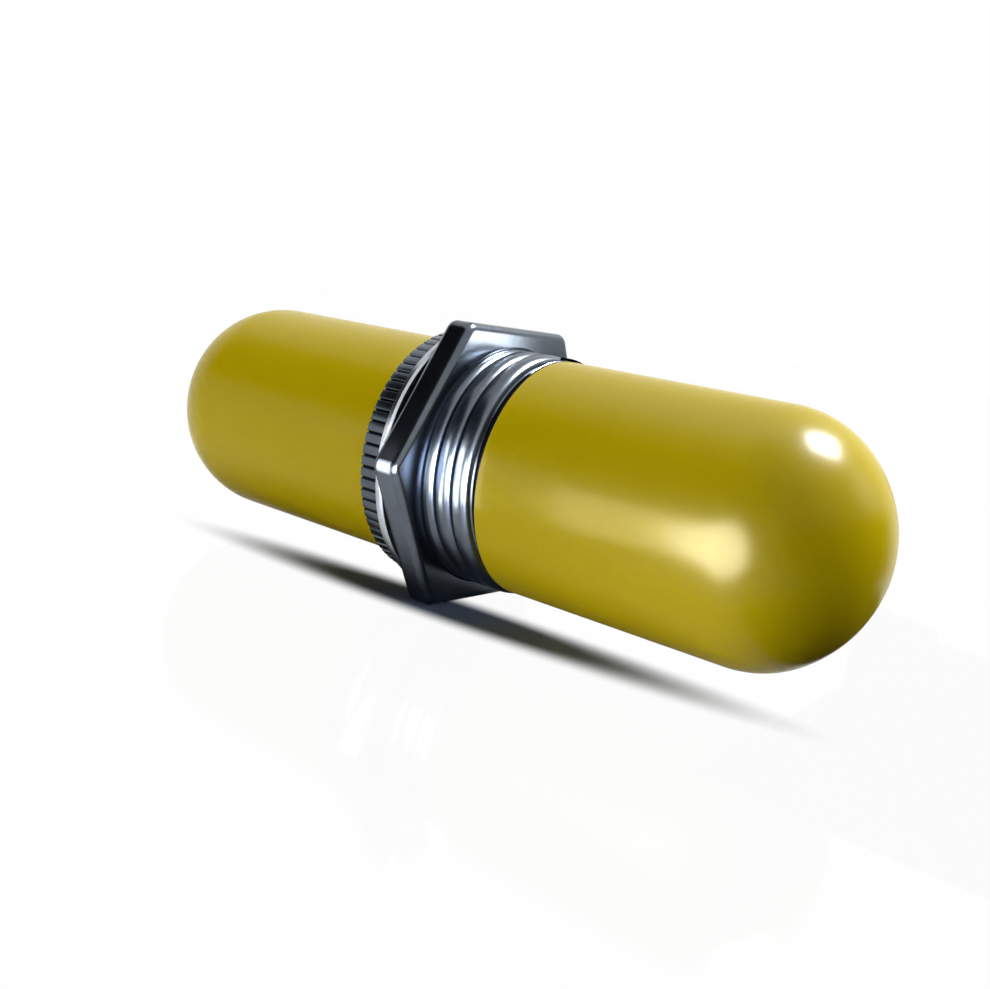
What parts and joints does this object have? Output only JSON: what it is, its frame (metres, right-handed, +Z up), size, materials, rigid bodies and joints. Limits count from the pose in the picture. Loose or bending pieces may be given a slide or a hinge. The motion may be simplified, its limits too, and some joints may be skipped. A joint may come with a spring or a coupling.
{
  "type": "fiber optic adapter",
  "caption": "Round bayonet fibre adapter: knurled flange, threaded panel barrel, thin hex nut, lock washer and two domed yellow dust caps.",
  "frame": {"origin": "on the adapter's axis, in the face of the knurled flange that seats against a panel", "axes": "+X along the axis towards the threaded, front end; +Z up, through the key slots; the nut's flats are level top and bottom"},
  "size_m": [0.0329, 0.0126, 0.011],
  "materials": {
    "plated_body": "polished nickel over brass",
    "steel_stud": "polished steel pins",
    "bare_brass": "turned brass",
    "bronze_sleeve": "spring bronze, burnished bore",
    "plated_washer": "plated spring steel",
    "plated_nut": "polished nickel over brass",
    "yellow_vinyl": "soft vinyl, satin gloss"
  },
  "bodies": {
    "adapter": {"front_body": "plated_body", "rear_body": "plated_body", "front_bayonet_studs": "steel_stud", "rear_bayonet_studs": "steel_stud", "front_sleeve_holder": "bare_brass", "rear_sleeve_holder": "bare_brass", "alignment_sleeve": "bronze_sleeve"},
    "lock_washer": {"lock_washer": "plated_washer"},
    "hex_nut": {"hex_nut": "plated_nut"},
    "front_dust_cap": {"front_dust_cap": "yellow_vinyl"},
    "rear_dust_cap": {"rear_dust_cap": "yellow_vinyl"}
  },
  "joints": [
    {"name": "nut_turn", "type": "hinge", "parent": "adapter", "child": "lock_washer", "pos_m": [0, 0, 0], "axis": [1, 0, 0], "range_deg": [-100, 1000]},
    {"name": "nut_travel", "type": "slide", "parent": "lock_washer", "child": "hex_nut", "axis": [1, 0, 0], "range_m": [-0.00022, 0.0022]},
    {"name": "front_cap_pull", "type": "slide", "parent": "adapter", "child": "front_dust_cap", "axis": [1, 0, 0], "range_m": [0, 0.016]},
    {"name": "rear_cap_pull", "type": "slide", "parent": "adapter", "child": "rear_dust_cap", "axis": [-1, 0, 0], "range_m": [0, 0.016]}
  ],
  "couplings": [
    {"joint": "nut_turn", "follows": "nut_travel", "rad_per_m": 7915.8}
  ]
}
